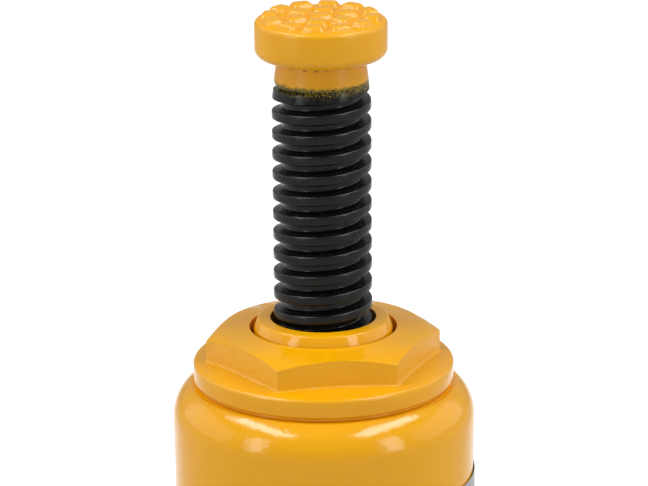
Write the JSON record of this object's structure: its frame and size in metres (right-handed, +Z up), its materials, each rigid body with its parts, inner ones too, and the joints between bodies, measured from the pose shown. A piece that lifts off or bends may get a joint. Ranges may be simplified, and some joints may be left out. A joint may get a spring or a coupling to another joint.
{
  "type": "bottle jack",
  "caption": "Hydraulic bottle jack with a pump lever, a lifting ram and a hand-turned extension screw with a knobbed saddle.",
  "frame": {"origin": "on the floor under the ram's axis", "axes": "+Z up along the ram, +X from the ram to the pump and the mouth of the handle socket"},
  "size_m": [0.1767, 0.0998, 0.2653],
  "materials": {
    "yellow_casting": "gloss enamel over a rough casting",
    "yellow_enamel": "gloss enamel on smooth steel",
    "yellow_enamel_nut": "gloss enamel on turned steel",
    "yellow_gasket": "rubber painted over with the body",
    "blackened_screw": "rolled thread, blackened and oiled",
    "ground_steel": "ground and polished",
    "turned_steel": "turned",
    "zinc_steel": "bright zinc plate",
    "black_spring_steel": "phosphated",
    "polished_ball_steel": "polished",
    "annealed_copper": "dull",
    "brass_mesh": "woven",
    "nitrile_rubber": "moulded",
    "white_nylon": "moulded"
  },
  "bodies": {
    "body": {"base": "yellow_casting", "reservoir": "yellow_enamel", "reservoir_seal": "nitrile_rubber", "shoulder_gasket": "yellow_gasket", "pressure_cylinder": "turned_steel", "cylinder_washer": "annealed_copper", "top_nut": "yellow_enamel_nut", "ram_wiper": "nitrile_rubber", "pump_body": "yellow_enamel_nut", "pump_washer": "annealed_copper", "plunger_seal": "nitrile_rubber", "plunger_wiper": "nitrile_rubber", "suction_cage": "turned_steel", "discharge_cage": "turned_steel", "discharge_spring": "black_spring_steel", "relief_spring": "black_spring_steel", "relief_screw": "turned_steel", "relief_cap": "yellow_enamel_nut", "suction_strainer": "brass_mesh", "gallery_plugs": "yellow_enamel_nut", "filler_plug": "nitrile_rubber"},
    "ram": {"ram": "ground_steel", "piston_head": "turned_steel", "backup_ring": "white_nylon", "ram_cup_seal": "nitrile_rubber", "cup_washer": "turned_steel", "cup_nut": "turned_steel"},
    "screw_travel": {"stop_ring": "turned_steel"},
    "screw": {"extension_screw": "blackened_screw"},
    "plunger": {"plunger": "ground_steel", "plunger_pin": "zinc_steel", "plunger_pin_clips": "black_spring_steel"},
    "lever": {"handle_socket": "yellow_casting", "fulcrum_pin": "zinc_steel", "fulcrum_pin_clips": "black_spring_steel"},
    "link": {"link_plate_left": "yellow_enamel", "link_plate_right": "yellow_enamel", "base_pin": "zinc_steel", "base_pin_clips": "black_spring_steel"},
    "release_travel": {"release_ball": "polished_ball_steel"},
    "release_valve": {"release_screw": "zinc_steel", "release_ring": "nitrile_rubber"},
    "suction_valve": {"suction_ball": "polished_ball_steel"},
    "discharge_valve": {"discharge_ball": "polished_ball_steel"},
    "relief_valve": {"relief_ball": "polished_ball_steel"}
  },
  "joints": [
    {"name": "ram_lift", "type": "slide", "parent": "body", "child": "ram", "axis": [0, 0, 1], "range_m": [0, 0.125]},
    {"name": "screw_extension", "type": "slide", "parent": "ram", "child": "screw_travel", "axis": [0, 0, 1], "range_m": [-0.065, 0]},
    {"name": "screw_turn", "type": "hinge", "parent": "screw_travel", "child": "screw", "pos_m": [0, 0, 0.22], "axis": [0, 0, 1], "range_deg": [-4690, 10]},
    {"name": "pump_stroke", "type": "slide", "parent": "body", "child": "plunger", "axis": [0, 0, 1], "range_m": [0, 0.01841]},
    {"name": "lever_swing", "type": "hinge", "parent": "plunger", "child": "lever", "pos_m": [0.067, 0, 0.072], "axis": [0, -1, 0], "range_deg": [-0.5, 52.5]},
    {"name": "link_swing", "type": "hinge", "parent": "lever", "child": "link", "pos_m": [0.04813, 0, 0.08121], "axis": [0, 1, 0], "range_deg": [-0.5, 52.5]},
    {"name": "release_travel", "type": "slide", "parent": "body", "child": "release_travel", "axis": [0.8829, -0.4695, 0], "range_m": [0, 0.0015]},
    {"name": "release_turn", "type": "hinge", "parent": "release_travel", "child": "release_valve", "pos_m": [0.07946, -0.04225, 0.015], "axis": [0.8829, -0.4695, 0], "range_deg": [-5, 365]},
    {"name": "suction_lift", "type": "slide", "parent": "body", "child": "suction_valve", "axis": [0, 0, 1], "range_m": [0, 0.0012]},
    {"name": "discharge_lift", "type": "slide", "parent": "body", "child": "discharge_valve", "axis": [0, 0, 1], "range_m": [0, 0.0012], "stiffness_N_per_m": 120, "springref_m": -0.0006, "deforming": ["discharge_spring"]},
    {"name": "relief_lift", "type": "slide", "parent": "body", "child": "relief_valve", "axis": [0, 0, 1], "range_m": [0, 0.001], "stiffness_N_per_m": 400, "springref_m": -0.0006, "deforming": ["relief_spring"]}
  ],
  "couplings": [
    {"joint": "screw_turn", "follows": "screw_extension", "rad_per_m": 1256.6},
    {"joint": "lever_swing", "follows": "pump_stroke", "rad_per_m": 49.293},
    {"joint": "link_swing", "follows": "pump_stroke", "rad_per_m": 49.293},
    {"joint": "release_turn", "follows": "release_travel", "rad_per_m": 4188.8}
  ]
}
